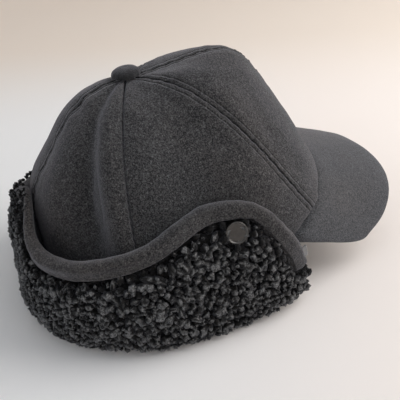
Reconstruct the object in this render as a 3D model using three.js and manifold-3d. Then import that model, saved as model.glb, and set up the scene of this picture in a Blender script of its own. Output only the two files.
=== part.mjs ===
// A trapper cap: a peaked six-panel crown of thick wool cloth, with an ear and neck flap that is
// folded up round the outside, so that its curly pile lining shows between a wool binding and the floor.
// Millimetres, +Z up. The peak points along -Y and the wearer's left is +X. The cap stands on the fold of
// its flap, and the origin is the middle of the footprint of its box.
// An azimuth is in degrees round the crown from the front centre, positive towards the wearer's right.

import * as THREE from 'three';
import { mergeVertices } from 'three/addons/utils/BufferGeometryUtils.js';
import Module from 'manifold-3d';

const wasm = await Module();
wasm.setup();

// Crown: reaches of its rim from the middle, and its cloth
const frontReach = 95;
const backReach = 91;
const sideReach = 84;
const frontSquareness = 2.6;
const backSquareness = 2.45;
const buttonHeight = 131;
const buttonBack = 20;
const buttonLeft = 7;
const clothWall = 2.6;
const panelPuff = 2.2;
const seamGap = 0.3;
const eyeletRadius = 2.4;
const panelColumn = 5.5;
const panelRows = 12;

// Clearance between pieces that lie on each other
const fitGap = 0.35;
const rimGap = 0.6;

// Flap: the foot of the pile under the rim, its layers and the binding along its edge. It lies closer to
// the crown on the wearer's left.
const footHeight = 8.5;
const footInside = 7;
const pileThickness = 8;
const pileLump = 1.7;
const flapCloth = 1.8;
const bindingWidth = 12;
const bindingThickness = 9;
const flapColumnCount = 76;
const flapRows = 4;
const pileRows = 7;
const edgeSamples = 600;
const foldTurn = 25;
const footBulge = 1.2;
const footCorner = 1;
const leftStandoff = 0.15;

// Peak
const peakLength = 58;
const peakThickness = 3.6;
const peakHalfAngle = 55;
const peakHeight = 69;
const peakDrop = 29;
const peakMiddleSlope = 0.31;
const peakSideSlope = 0.6;
const peakFullness = 3.6;
const peakSeamCurve = 2.2;
const peakRows = 6;
const peakColumns = 30;
const peakTuck = 1.5;
const rimStep = 8;
const rimStepStart = 0.5;

// Button, press studs and side tab
const buttonRadius = 8.7;
const buttonRise = 5;
const shankRadius = 1.6;
const shankLength = 6;
const studRadius = 6.5;
const studRise = 2.2;
const studAzimuth = 80;
const studBelowEdge = 16;
const tabWidth = 8;
const tabReach = 3.2;
const tabThickness = 0.9;
const tabStation = 1;
const roundSides = 20;

// Profiles of the crown up from its rim. Out is a share of the way from the button's axis to the rim's
// outline, and up is a share of buttonHeight.
const crownProfiles = [
  { azimuth: 0, lowOut: 0.96, lowUp: 0.5, bendOut: 0.765, bendUp: 0.905, topOut: 0.53, topUp: 1.065 },
  { azimuth: 30, lowOut: 1.01, lowUp: 0.44, bendOut: 0.71, bendUp: 0.84, topOut: 0.41, topUp: 1.03 },
  { azimuth: 60, lowOut: 0.97, lowUp: 0.38, bendOut: 0.7, bendUp: 0.75, topOut: 0.35, topUp: 0.96 },
  { azimuth: 90, lowOut: 0.91, lowUp: 0.34, bendOut: 0.65, bendUp: 0.68, topOut: 0.3, topUp: 0.93 },
  { azimuth: 120, lowOut: 0.92, lowUp: 0.37, bendOut: 0.68, bendUp: 0.71, topOut: 0.35, topUp: 0.92 },
  { azimuth: 150, lowOut: 0.94, lowUp: 0.43, bendOut: 0.72, bendUp: 0.73, topOut: 0.4, topUp: 0.92 },
  { azimuth: 180, lowOut: 1.02, lowUp: 0.49, bendOut: 0.76, bendUp: 0.74, topOut: 0.43, topUp: 0.93 },
  { azimuth: 210, lowOut: 1.02, lowUp: 0.48, bendOut: 0.75, bendUp: 0.74, topOut: 0.42, topUp: 0.93 },
  { azimuth: 240, lowOut: 0.93, lowUp: 0.4, bendOut: 0.7, bendUp: 0.73, topOut: 0.36, topUp: 0.93 },
  { azimuth: 270, lowOut: 0.92, lowUp: 0.36, bendOut: 0.68, bendUp: 0.71, topOut: 0.33, topUp: 0.955 },
  { azimuth: 300, lowOut: 0.96, lowUp: 0.4, bendOut: 0.69, bendUp: 0.76, topOut: 0.34, topUp: 0.97 },
  { azimuth: 330, lowOut: 0.99, lowUp: 0.46, bendOut: 0.72, bendUp: 0.85, topOut: 0.41, topUp: 1.03 },
];

// Dents in the soft cloth: how far up their middle is, as a share of buttonHeight, how far they lean with
// height, in degrees per buttonHeight, how wide they are in degrees and how tall as a share of buttonHeight,
// and how deep as a share of sideReach
const crownDents = [
  { azimuth: 142.5, up: 0.58, lean: 26, spreadRound: 5.5, spreadUp: 0.3, depth: 0.12 },
  { azimuth: 152, up: 0.5, lean: 12, spreadRound: 11, spreadUp: 0.3, depth: 0.08 },
  { azimuth: 132, up: 0.58, lean: 24, spreadRound: 5, spreadUp: 0.32, depth: -0.04 },
  { azimuth: 212, up: 0.5, lean: 0, spreadRound: 16, spreadUp: 0.3, depth: 0.05 },
  { azimuth: 20, up: 0.98, lean: 0, spreadRound: 16, spreadUp: 0.14, depth: 0.03 },
];

// The seams between panels, by their azimuth at the rim and near the button
const crownSeams = [
  { rim: 0, top: 0 },
  { rim: 45, top: 56 },
  { rim: 117, top: 125.5 },
  { rim: 180, top: 180 },
  { rim: 243, top: 235 },
  { rim: 315, top: 304 },
];

// The six panels and the two seams, counted from 0 in the table above, that each lies between
const panelNames = [
  { name: 'crown_front_right', from: 0, to: 1 },
  { name: 'crown_side_right', from: 1, to: 2 },
  { name: 'crown_back_right', from: 2, to: 3 },
  { name: 'crown_back_left', from: 3, to: 4 },
  { name: 'crown_side_left', from: 4, to: 5 },
  { name: 'crown_front_left', from: 5, to: 6 },
];

// The upper edge of the flap, alike on both sides, from its front end round to the back. Up is a share of
// buttonHeight and roll a share of the binding's width and thickness. Standoff is how far the flap's cloth
// stands off the crown at the edge, swell is how much thicker its pile is half way up, and lift is how far
// its fold is off the floor, as shares of pileThickness.
const flapEdge = [
  { azimuth: 55.8, up: 0.2, roll: 1, standoff: 0, swell: 0, lift: 0.7 },
  { azimuth: 57.2, up: 0.27, roll: 1, standoff: 0, swell: 0, lift: 0.6 },
  { azimuth: 59.5, up: 0.345, roll: 1, standoff: 0, swell: 0, lift: 0.5 },
  { azimuth: 62, up: 0.415, roll: 1, standoff: 0, swell: 0, lift: 0.4 },
  { azimuth: 64.5, up: 0.48, roll: 1, standoff: 0, swell: 0, lift: 0.3 },
  { azimuth: 68, up: 0.53, roll: 1, standoff: 0, swell: 0.05, lift: 0.2 },
  { azimuth: 74, up: 0.553, roll: 1, standoff: 0.05, swell: 0.1, lift: 0.1 },
  { azimuth: 84, up: 0.557, roll: 1, standoff: 0.1, swell: 0.15, lift: 0 },
  { azimuth: 95, up: 0.547, roll: 1, standoff: 0.15, swell: 0.2, lift: 0 },
  { azimuth: 107, up: 0.517, roll: 1, standoff: 0.3, swell: 0.3, lift: 0 },
  { azimuth: 120, up: 0.466, roll: 1, standoff: 0.5, swell: 0.45, lift: 0 },
  { azimuth: 132, up: 0.435, roll: 1, standoff: 0.75, swell: 0.5, lift: 0 },
  { azimuth: 144, up: 0.418, roll: 1, standoff: 1.05, swell: 0.6, lift: 0 },
  { azimuth: 155, up: 0.43, roll: 0.95, standoff: 1.15, swell: 0.7, lift: 0 },
  { azimuth: 163, up: 0.465, roll: 0.8, standoff: 0.8, swell: 0.85, lift: 0 },
  { azimuth: 171, up: 0.53, roll: 0.6, standoff: 0.3, swell: 0.8, lift: 0 },
  { azimuth: 180, up: 0.57, roll: 0.45, standoff: 0, swell: 0.75, lift: 0 },
];

const radians = Math.PI / 180;
const clamp = THREE.MathUtils.clamp;
const lerp = THREE.MathUtils.lerp;
const smoothstep = THREE.MathUtils.smoothstep;
const euclideanModulo = THREE.MathUtils.euclideanModulo;

// A smooth curve through four values, between the middle two
function catmullRom(before, from, to, after, t) {
  const rise = (to - before) / 2;
  const fall = (after - from) / 2;
  const cubic = 2 * from - 2 * to + rise + fall;
  const square = 3 * to - 3 * from - 2 * rise - fall;
  return ((cubic * t + square) * t + rise) * t + from;
}

// A column of a table whose rows go round the whole crown at equal steps
function aroundCrown(table, column, azimuth) {
  const place = (euclideanModulo(azimuth, 360) * table.length) / 360;
  const row = Math.floor(place);
  const value = (offset) => table[euclideanModulo(row + offset, table.length)][column];
  return catmullRom(value(-1), value(0), value(1), value(2), place - row);
}

// A column of the flap's table, at an azimuth counted from the front on either side
function alongFlap(column, azimuth) {
  const turn = 180 - Math.abs(euclideanModulo(azimuth, 360) - 180);
  const last = flapEdge.length - 1;
  const above = flapEdge.findIndex((row) => row.azimuth > turn);
  const row = above < 0 ? last : Math.max(above, 1);
  const from = flapEdge[row - 1];
  const to = flapEdge[row];
  const before = flapEdge[Math.max(row - 2, 0)];
  const after = flapEdge[row === last ? last - 1 : row + 1];
  const t = clamp((turn - from.azimuth) / (to.azimuth - from.azimuth), 0, 1);
  return catmullRom(before[column], from[column], to[column], after[column], t);
}

// The outline of the crown's rim seen from above
function rimOutline(azimuth) {
  const along = Math.cos(azimuth * radians);
  const across = Math.sin(azimuth * radians);
  const reach = along > 0 ? frontReach : backReach;
  const squareness = lerp(backSquareness, frontSquareness, smoothstep(along, -0.5, 0.5));
  const share = Math.abs(along / reach) ** squareness + Math.abs(across / sideReach) ** squareness;
  const radius = share ** (-1 / squareness);
  return new THREE.Vector2(-radius * across, -radius * along);
}

// The height of the line where the crown meets the peak
function peakSeamHeight(azimuth) {
  const share = (180 - Math.abs(euclideanModulo(azimuth, 360) - 180)) / peakHalfAngle;
  return peakHeight - peakDrop * share ** peakSeamCurve;
}

// The height of the crown's bottom edge under a point: on the peak in front, on the flap's fold elsewhere
function rimHeight(x, y) {
  const azimuth = Math.atan2(-x, -y) / radians;
  const onFold = clamp((Math.abs(azimuth) - peakHalfAngle - rimStepStart) / rimStep, 0, 1);
  return lerp(peakSeamHeight(Math.min(Math.abs(azimuth), peakHalfAngle + 1)), footHeight, onFold) + rimGap;
}

// The undented crown at an azimuth and a share of the way along its profile, from 0 at the level of the fold
// to 1 at the button
function smoothCrown(azimuth, rise) {
  const rim = rimOutline(azimuth);
  const column = (name) => aroundCrown(crownProfiles, name, azimuth);
  const outs = [1, column('lowOut'), column('bendOut'), column('topOut'), 0];
  const heights = ['lowUp', 'bendUp', 'topUp'].map((name) => column(name) * buttonHeight);
  const ups = [footHeight + rimGap, ...heights, buttonHeight];
  outs.unshift(1);
  outs.push(-outs[4]);
  ups.unshift(2 * ups[0] - ups[1]);
  ups.push(ups[4]);
  const place = clamp(rise, 0, 1) * 4;
  const step = Math.min(Math.floor(place), 3);
  const out = catmullRom(...outs.slice(step, step + 4), place - step);
  const up = catmullRom(...ups.slice(step, step + 4), place - step);
  return new THREE.Vector3(lerp(buttonLeft, rim.x, out), lerp(buttonBack, rim.y, out), up);
}

// The share of the way along its profile at which the crown first reaches a height
function riseAtHeight(azimuth, height) {
  let low = 0;
  let high = 0.8;
  for (let i = 0; i < 24; i += 1) {
    const middle = (low + high) / 2;
    if (smoothCrown(azimuth, middle).z < height) low = middle;
    else high = middle;
  }
  return low;
}

// The share of the way along its profile at which the crown is a distance from the button's axis
function riseAtRadius(azimuth, radius) {
  let low = 0.5;
  let high = 1;
  for (let i = 0; i < 24; i += 1) {
    const middle = (low + high) / 2;
    const point = smoothCrown(azimuth, middle);
    if (Math.hypot(point.x - buttonLeft, point.y - buttonBack) > radius) low = middle;
    else high = middle;
  }
  return high;
}

// The azimuth of a seam at a share of the way from the rim to the eyelet
function seamAzimuth(index, climb) {
  const seam = crownSeams[index % crownSeams.length];
  const turn = index >= crownSeams.length ? 360 : 0;
  return lerp(seam.top, seam.rim, (1 - climb) ** 3) + turn;
}

// The share of the way along its profile of a point a share of the way from the rim to the eyelet
function riseOfClimb(azimuth, climb) {
  const rim = rimOutline(azimuth);
  return lerp(riseAtHeight(azimuth, rimHeight(rim.x, rim.y)), riseAtRadius(azimuth, eyeletRadius), climb);
}

// How far the cloth is pushed in by the dents
function dentDepth(azimuth, up) {
  let depth = 0;
  for (const dent of crownDents) {
    const middle = dent.azimuth + dent.lean * (up - dent.up);
    const round = euclideanModulo(azimuth - middle + 180, 360) - 180;
    const across = (round / dent.spreadRound) ** 2;
    const along = ((up - dent.up) / dent.spreadUp) ** 2;
    depth += dent.depth * sideReach * Math.exp(-across - along);
  }
  return depth;
}

// The outward normal of the undented crown
function crownNormal(azimuth, rise) {
  const middle = clamp(rise, 0.02, 0.95);
  const round = smoothCrown(azimuth + 1, middle).sub(smoothCrown(azimuth - 1, middle));
  const upward = smoothCrown(azimuth, middle + 0.02).sub(smoothCrown(azimuth, middle - 0.02));
  return upward.cross(round).normalize();
}

// The outer face of a panel, puffed up between its seams and dented
function panelFace(azimuth, rise, share) {
  const point = smoothCrown(azimuth, rise);
  const normal = crownNormal(azimuth, rise);
  const puff = panelPuff * (1 - (2 * share - 1) ** 4) * Math.sin(Math.PI * clamp(rise, 0, 1)) ** 0.6;
  const fade = smoothstep(rise, 0, 0.15) * smoothstep(1 - rise, 0, 0.2);
  const dent = dentDepth(azimuth, point.z / buttonHeight) * fade;
  return point.addScaledVector(normal, puff - panelPuff - dent);
}

// A point of the folded flap: over an azimuth and a height of the crown, and out from its cloth's inner face
function flapPoint(azimuth, height, out) {
  const rise = riseAtHeight(azimuth, height);
  const point = smoothCrown(azimuth, rise);
  point.z = Math.min(point.z, height);
  const tangent = rimOutline(azimuth + 2).sub(rimOutline(azimuth - 2));
  const level = new THREE.Vector3(-tangent.y, tangent.x, 0).normalize();
  const leaning = smoothstep(height, footHeight, footHeight + foldTurn);
  const normal = level.lerp(crownNormal(azimuth, rise), leaning).normalize();
  const top = alongFlap('up', azimuth) * buttonHeight;
  const side = lerp(1, leftStandoff, smoothstep(azimuth, 165, 190));
  const standoff = side * alongFlap('standoff', azimuth) * pileThickness;
  return point.addScaledVector(normal, fitGap + standoff * smoothstep(height, footHeight, top) + out);
}

// The flap's edge as evenly spaced stations, each with the way down across the flap per millimetre
function flapStations(count) {
  const samples = [];
  const first = flapEdge[0].azimuth;
  for (let i = 0; i <= edgeSamples; i += 1) {
    const azimuth = lerp(first, 360 - first, i / edgeSamples);
    const height = alongFlap('up', azimuth) * buttonHeight;
    samples.push({ azimuth, height, point: flapPoint(azimuth, height, 0) });
  }
  let length = 0;
  const lengths = samples.map((sample, i) => {
    length += i === 0 ? 0 : sample.point.distanceTo(samples[i - 1].point);
    return length;
  });
  const stations = [];
  for (let i = 0; i <= count; i += 1) {
    const along = (length * i) / count;
    const found = lengths.findIndex((value) => value > along);
    const next = found < 0 ? samples.length - 1 : found;
    const t = (along - lengths[next - 1]) / (lengths[next] - lengths[next - 1]);
    const azimuth = lerp(samples[next - 1].azimuth, samples[next].azimuth, t);
    const height = lerp(samples[next - 1].height, samples[next].height, t);
    stations.push({ azimuth, height });
  }
  for (const [i, station] of stations.entries()) {
    const before = stations[Math.max(i - 1, 0)];
    const after = stations[Math.min(i + 1, count)];
    const perDegree = flapPoint(station.azimuth + 0.5, station.height, 0)
      .distanceTo(flapPoint(station.azimuth - 0.5, station.height, 0));
    const perHeight = flapPoint(station.azimuth, station.height + 0.5, 0)
      .distanceTo(flapPoint(station.azimuth, station.height - 0.5, 0));
    const run = (after.azimuth - before.azimuth) * perDegree;
    const climb = (after.height - before.height) * perHeight;
    const scale = Math.hypot(run, climb);
    station.acrossAzimuth = climb / scale / perDegree;
    station.acrossHeight = -run / scale / perHeight;
  }
  return stations;
}

// The point of the flap that lies a distance across it from a station of its edge
function acrossFlap(station, distance, out) {
  const azimuth = station.azimuth + station.acrossAzimuth * distance;
  return flapPoint(azimuth, station.height + station.acrossHeight * distance, out);
}

// A closed solid between two grids of points that share their edges' outline
function wallSolid(outer, inner) {
  const rows = outer.length;
  const columns = outer[0].length;
  const positions = [...outer.flat(), ...inner.flat()].flatMap((p) => [p.x, p.y, p.z]);
  const index = [];
  const at = (side, row, column) => side * rows * columns + row * columns + column;
  const quad = (a, b, c, d) => index.push(a, b, c, a, c, d);
  for (let row = 0; row < rows - 1; row += 1) {
    for (let column = 0; column < columns - 1; column += 1) {
      quad(at(0, row, column), at(0, row, column + 1), at(0, row + 1, column + 1), at(0, row + 1, column));
      quad(at(1, row, column), at(1, row + 1, column), at(1, row + 1, column + 1), at(1, row, column + 1));
    }
  }
  for (let column = 0; column < columns - 1; column += 1) {
    quad(at(1, 0, column), at(1, 0, column + 1), at(0, 0, column + 1), at(0, 0, column));
    const top = rows - 1;
    quad(at(0, top, column), at(0, top, column + 1), at(1, top, column + 1), at(1, top, column));
  }
  for (let row = 0; row < rows - 1; row += 1) {
    quad(at(1, row, 0), at(0, row, 0), at(0, row + 1, 0), at(1, row + 1, 0));
    const end = columns - 1;
    quad(at(1, row, end), at(1, row + 1, end), at(0, row + 1, end), at(0, row, end));
  }
  return solidGeometry(positions, index);
}

// A closed solid swept through a list of sections, each a closed loop of points
function sweptSolid(sections) {
  const sides = sections[0].length;
  const positions = sections.flat().flatMap((p) => [p.x, p.y, p.z]);
  const index = [];
  for (let row = 0; row < sections.length - 1; row += 1) {
    for (let side = 0; side < sides; side += 1) {
      const next = (side + 1) % sides;
      const a = row * sides + side;
      const b = row * sides + next;
      index.push(a, b, b + sides, a, b + sides, a + sides);
    }
  }
  const cap = (first, flip) => {
    for (let side = 1; side < sides - 1; side += 1) {
      const triangle = [first, first + side, first + side + 1];
      index.push(...(flip ? triangle.reverse() : triangle));
    }
  };
  cap(0, true);
  cap((sections.length - 1) * sides, false);
  return solidGeometry(positions, index);
}

// A geometry from shared points, turned so that its volume is positive
function solidGeometry(positions, index) {
  const point = (i) => new THREE.Vector3().fromArray(positions, index[i] * 3);
  let volume = 0;
  for (let i = 0; i < index.length; i += 3) volume += point(i).dot(point(i + 1).cross(point(i + 2)));
  const turned = volume < 0 ? index.slice().reverse() : index;
  const geometry = new THREE.BufferGeometry();
  geometry.setAttribute('position', new THREE.Float32BufferAttribute(positions, 3));
  geometry.setIndex(turned);
  return geometry;
}

// Boolean cuts
function toManifold(geometry) {
  const bare = geometry.clone();
  bare.deleteAttribute('normal');
  bare.deleteAttribute('uv');
  const merged = mergeVertices(bare, 1e-4);
  return new wasm.Manifold(
    new wasm.Mesh({
      numProp: 3,
      vertProperties: Float32Array.from(merged.attributes.position.array),
      triVerts: Uint32Array.from(merged.index.array),
    }),
  );
}

function fromManifold(solid) {
  const mesh = solid.getMesh();
  const geometry = new THREE.BufferGeometry();
  geometry.setAttribute('position', new THREE.BufferAttribute(Float32Array.from(mesh.vertProperties), 3));
  geometry.setIndex(new THREE.BufferAttribute(Uint32Array.from(mesh.triVerts), 1));
  return geometry;
}

// Cloths and fittings
const materials = {
  wool: new THREE.MeshStandardMaterial({ color: 0x2b2a2d, roughness: 0.95, metalness: 0 }),
  pile: new THREE.MeshStandardMaterial({ color: 0x19191c, roughness: 1, metalness: 0 }),
  stud: new THREE.MeshStandardMaterial({ color: 0x3a3735, roughness: 0.35, metalness: 0 }),
  tab: new THREE.MeshStandardMaterial({ color: 0xb9bbc2, roughness: 0.8, metalness: 0 }),
};

function namedMesh(name, geometry, material) {
  const mesh = new THREE.Mesh(geometry, material);
  mesh.name = name;
  return mesh;
}

// The direction across a seam in the cloth, towards the greater azimuth
function seamAside(index, climb) {
  const at = (share) => smoothCrown(seamAzimuth(index, share), riseOfClimb(seamAzimuth(index, 0), share));
  const along = at(Math.min(climb + 0.03, 1)).sub(at(Math.max(climb - 0.03, 0)));
  const normal = crownNormal(seamAzimuth(index, climb), riseOfClimb(seamAzimuth(index, 0), climb));
  return normal.cross(along).normalize();
}

// The shares of a panel's width at which it has columns, with one at each end of the step in its rim
function panelShares(start, end) {
  const shares = [];
  const steps = [peakHalfAngle + rimStepStart, peakHalfAngle + rimStepStart + rimStep];
  const corners = [...steps, ...steps.map((azimuth) => 360 - azimuth)]
    .filter((azimuth) => azimuth > start && azimuth < end)
    .sort((first, second) => first - second);
  const knots = [start, ...corners, end];
  for (let i = 0; i < knots.length - 1; i += 1) {
    const pieces = Math.max(Math.round((knots[i + 1] - knots[i]) / panelColumn), 1);
    for (let k = 0; k < pieces; k += 1) {
      const azimuth = lerp(knots[i], knots[i + 1], k / pieces);
      shares.push((azimuth - start) / (end - start));
    }
  }
  return [...shares, 1];
}

// One panel of the crown, from the rim to the eyelet under the button
function crownPanel({ name, from, to }) {
  const rows = panelRows;
  const shares = panelShares(seamAzimuth(from, 0), seamAzimuth(to, 0));
  const columns = shares.length - 1;
  const outer = [];
  const inner = [];
  for (let row = 0; row <= rows; row += 1) {
    outer.push([]);
    inner.push([]);
    for (let column = 0; column <= columns; column += 1) {
      const share = shares[column];
      const climb = row / rows;
      const rise = riseOfClimb(lerp(seamAzimuth(from, 0), seamAzimuth(to, 0), share), climb);
      const azimuth = lerp(seamAzimuth(from, climb), seamAzimuth(to, climb), share);
      const face = panelFace(azimuth, rise, share);
      const back = face.clone().addScaledVector(crownNormal(azimuth, rise), -clothWall);
      if (column === 0 || column === columns) {
        const aside = seamAside(column === 0 ? from : to, climb);
        const shift = column === 0 ? seamGap / 2 : -seamGap / 2;
        face.addScaledVector(aside, shift);
        back.addScaledVector(aside, shift);
      }
      if (row === 0) {
        face.z = rimHeight(face.x, face.y);
        back.z = rimHeight(back.x, back.y);
      }
      outer[row].push(face);
      inner[row].push(back);
    }
  }
  return namedMesh(name, wallSolid(outer, inner), materials.wool);
}

// The peak, from inside the crown's front rim to its rounded edge
function peakShell() {
  const upper = [];
  const lower = [];
  const tuck = panelPuff + clothWall + peakTuck;
  for (let row = 0; row <= peakRows; row += 1) {
    upper.push([]);
    lower.push([]);
    for (let column = 0; column <= peakColumns; column += 1) {
      const share = -1 + (2 * column) / peakColumns;
      const azimuth = share * peakHalfAngle;
      const rim = smoothCrown(azimuth, riseAtHeight(azimuth, peakSeamHeight(azimuth)));
      const seam = rimHeight(rim.x, rim.y) - rimGap;
      const reach = peakLength * (1 - Math.abs(share) ** peakFullness) ** (1 / peakFullness);
      const forward = (Math.max(row - 1, 0) / (peakRows - 1)) * reach;
      const point = new THREE.Vector3(rim.x, rim.y - forward, 0);
      if (row === 0) point.multiplyScalar(1 - tuck / Math.hypot(rim.x, rim.y));
      point.z = seam - lerp(peakMiddleSlope, peakSideSlope, share ** 2) * forward;
      const edge = row === peakRows ? peakThickness * 0.25 : 0;
      upper[row].push(point.clone().setZ(point.z - edge));
      lower[row].push(point.clone().setZ(point.z - peakThickness + edge));
    }
  }
  return namedMesh('peak', wallSolid(upper, lower), materials.wool);
}

// The columns of the flap under its binding, each with its azimuth and the height of its top
function flapColumns(stations) {
  const last = stations.length - 1;
  const across = (station) => bindingWidth * alongFlap('roll', station.azimuth) + fitGap * 1.5;
  const column = (station, share, below) => ({
    azimuth: station.azimuth + station.acrossAzimuth * share * across(station),
    height: station.height + station.acrossHeight * share * across(station) - below,
  });
  const end = (station) => [0, 0.5].map((share) => column(station, share, fitGap));
  const between = stations.map((station, i) => column(station, 1, i === 0 || i === last ? fitGap : 0));
  return [...end(stations[0]), ...between, ...end(stations[last]).reverse()];
}

// The flap's wool cloth, on its crown side, between the fold and the binding
function flapWool(columns) {
  const outer = [];
  const inner = [];
  for (let row = 0; row <= flapRows; row += 1) {
    const height = (top) => lerp(top, footHeight + fitGap, row / flapRows);
    outer.push(columns.map((column) => flapPoint(column.azimuth, height(column.height), flapCloth)));
    inner.push(columns.map((column) => flapPoint(column.azimuth, height(column.height), 0)));
  }
  return namedMesh('ear_flap_wool', wallSolid(outer, inner), materials.wool);
}

// A repeatable value from -1 to 1
function scatter(first, second) {
  const value = Math.sin(first * 127.1 + second * 311.7) * 43758.5453;
  return 2 * (value - Math.floor(value)) - 1;
}

// The curly pile, folded up from under the crown's rim, with its lumps
function flapPile(columns) {
  const inside = flapCloth + fitGap;
  const outside = inside + pileThickness;
  const sections = columns.map(({ azimuth, height }, i) => {
    const swell = alongFlap('swell', azimuth) * pileThickness;
    const lift = Math.max(alongFlap('lift', azimuth), 0) * pileThickness;
    const section = [
      [inside * 1.5, lift],
      [outside * 0.7 + swell * 0.5, lerp(lift, footHeight, 0.25)],
      [outside * 0.93 + swell * 0.85, lerp(lift, footHeight, 0.8)],
    ];
    for (let row = 1; row <= pileRows; row += 1) {
      const share = row / pileRows;
      const swollen = outside + swell * Math.cos((Math.PI / 2) * share);
      const full = row === pileRows ? lerp(inside, outside, 0.8) : swollen + pileLump * scatter(i, row);
      section.push([full, lerp(footHeight, height, share)]);
    }
    for (const share of [1, 0.75, 0.5, 0.25, 0]) {
      section.push([inside, lerp(footHeight + fitGap, height, share)]);
    }
    section.push(
      [inside, footHeight],
      [-footInside, footHeight],
      [-footInside - footBulge, lerp(lift, footHeight, 0.5)],
      [-footInside + footCorner, lift],
    );
    return section.map(([out, up]) => flapPoint(azimuth, up, out));
  });
  return sweptSolid(sections);
}

// The binding that wraps the flap's edge and its front ends
function flapBinding(stations) {
  const section = [
    [1, 0.1], [1, 0.85], [0.8, 1], [0.5, 1.05], [0.22, 0.98], [0.04, 0.7],
    [0, 0.4], [0.06, 0.12], [0.25, 0], [0.75, 0],
  ];
  const sections = stations.map((station) => {
    const roll = alongFlap('roll', station.azimuth);
    return section.map(
      ([across, out]) => acrossFlap(station, across * roll * bindingWidth, out * roll * bindingThickness),
    );
  });
  return namedMesh('flap_binding', sweptSolid(sections), materials.wool);
}

// The cloth-covered button on the crown, with a shank through the eyelet under it
function topButton() {
  const profile = [
    [0, -shankLength], [shankRadius, -shankLength], [shankRadius, 0],
    [buttonRadius * 0.93, 0], [buttonRadius, buttonRise * 0.22], [buttonRadius * 0.93, buttonRise * 0.55],
    [buttonRadius * 0.7, buttonRise * 0.85], [buttonRadius * 0.35, buttonRise], [0, buttonRise],
  ].map(([x, y]) => new THREE.Vector2(x, y));
  const geometry = new THREE.LatheGeometry(profile, roundSides).rotateX(Math.PI / 2);
  const button = namedMesh('top_button', geometry, materials.wool);
  const under = (azimuth) => smoothCrown(azimuth, riseAtRadius(azimuth, buttonRadius));
  const seat = [0, 90, 180, 270].map(under);
  const normal = seat[1].clone().sub(seat[3]).cross(seat[2].clone().sub(seat[0])).normalize();
  if (normal.z < 0) normal.negate();
  const axis = new THREE.Vector3(buttonLeft, buttonBack, 0);
  let lift = buttonHeight * normal.z;
  for (let azimuth = 0; azimuth < 360; azimuth += 15) {
    lift = Math.max(lift, under(azimuth).sub(axis).dot(normal));
  }
  button.quaternion.setFromUnitVectors(new THREE.Vector3(0, 0, 1), normal);
  button.position.copy(axis).setZ((lift + fitGap - panelPuff * 0.5) / normal.z);
  return button;
}

// The place of a press stud on the pile of one side, as a turn and a position, its face outwards
function studPlace(azimuth) {
  const height = alongFlap('up', azimuth) * buttonHeight - studBelowEdge;
  const outside = flapCloth + fitGap + pileThickness;
  const face = flapPoint(azimuth, height, outside);
  const normal = face.clone().sub(flapPoint(azimuth, height, 0)).normalize();
  const turn = new THREE.Quaternion().setFromUnitVectors(new THREE.Vector3(0, 0, 1), normal);
  return new THREE.Matrix4().compose(face, turn, new THREE.Vector3(1, 1, 1));
}

function pressStud(name, azimuth) {
  const profile = [
    [0, -studRise], [studRadius * 0.9, -studRise], [studRadius, -studRise * 0.6],
    [studRadius, -studRise * 0.2], [studRadius * 0.88, 0], [studRadius * 0.74, -studRise * 0.22],
    [studRadius * 0.4, -studRise * 0.05], [0, 0],
  ].map(([x, y]) => new THREE.Vector2(x, y));
  const geometry = new THREE.LatheGeometry(profile, roundSides)
    .rotateX(Math.PI / 2)
    .applyMatrix4(studPlace(azimuth));
  return namedMesh(name, geometry, materials.stud);
}

function pocketed(pile, azimuth) {
  const depth = studRise + fitGap;
  const reach = pileThickness * 2;
  const radius = studRadius + fitGap;
  const pocket = new THREE.CylinderGeometry(radius, radius, depth + reach, roundSides)
    .rotateX(Math.PI / 2)
    .translate(0, 0, (reach - depth) / 2)
    .applyMatrix4(studPlace(azimuth));
  return fromManifold(toManifold(pile).subtract(toManifold(pocket)));
}

// The plain woven tab sewn to the flap's right front end
function sideTab(stations) {
  const station = stations[tabStation];
  const middle = bindingThickness * 0.4;
  const origin = acrossFlap(station, 0, middle);
  const forward = origin.clone().sub(acrossFlap(station, bindingWidth, middle)).normalize();
  const along = acrossFlap(station, 0, middle + 1).sub(origin).cross(forward).normalize();
  const basis = new THREE.Matrix4().makeBasis(forward, along.clone().cross(forward), along);
  const tab = namedMesh('side_tab', new THREE.BoxGeometry(tabReach, tabThickness, tabWidth), materials.tab);
  tab.quaternion.setFromRotationMatrix(basis);
  tab.position.copy(origin).addScaledVector(forward, fitGap + tabReach / 2);
  return tab;
}

const stations = flapStations(flapColumnCount);
const columns = flapColumns(stations);
const cap = new THREE.Group();
for (const panel of panelNames) cap.add(crownPanel(panel));
cap.add(topButton());
cap.add(peakShell());
cap.add(flapWool(columns));
cap.add(flapBinding(stations));
const studs = [['press_stud_right', studAzimuth], ['press_stud_left', 360 - studAzimuth]];
let pile = flapPile(columns);
for (const [name, azimuth] of studs) {
  pile = pocketed(pile, azimuth);
  cap.add(pressStud(name, azimuth));
}
cap.add(namedMesh('ear_flap_pile', pile, materials.pile));
cap.add(sideTab(stations));

// Bring the middle of the footprint to the origin
const box = new THREE.Box3().setFromObject(cap, true);
cap.position.set(-(box.min.x + box.max.x) / 2, -(box.min.y + box.max.y) / 2, -box.min.z);

export default cap;
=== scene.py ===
import math

import bmesh
import bpy
import numpy as np
from mathutils import Matrix, Vector, noise
from mathutils.bvhtree import BVHTree
from mathutils.kdtree import KDTree


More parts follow.
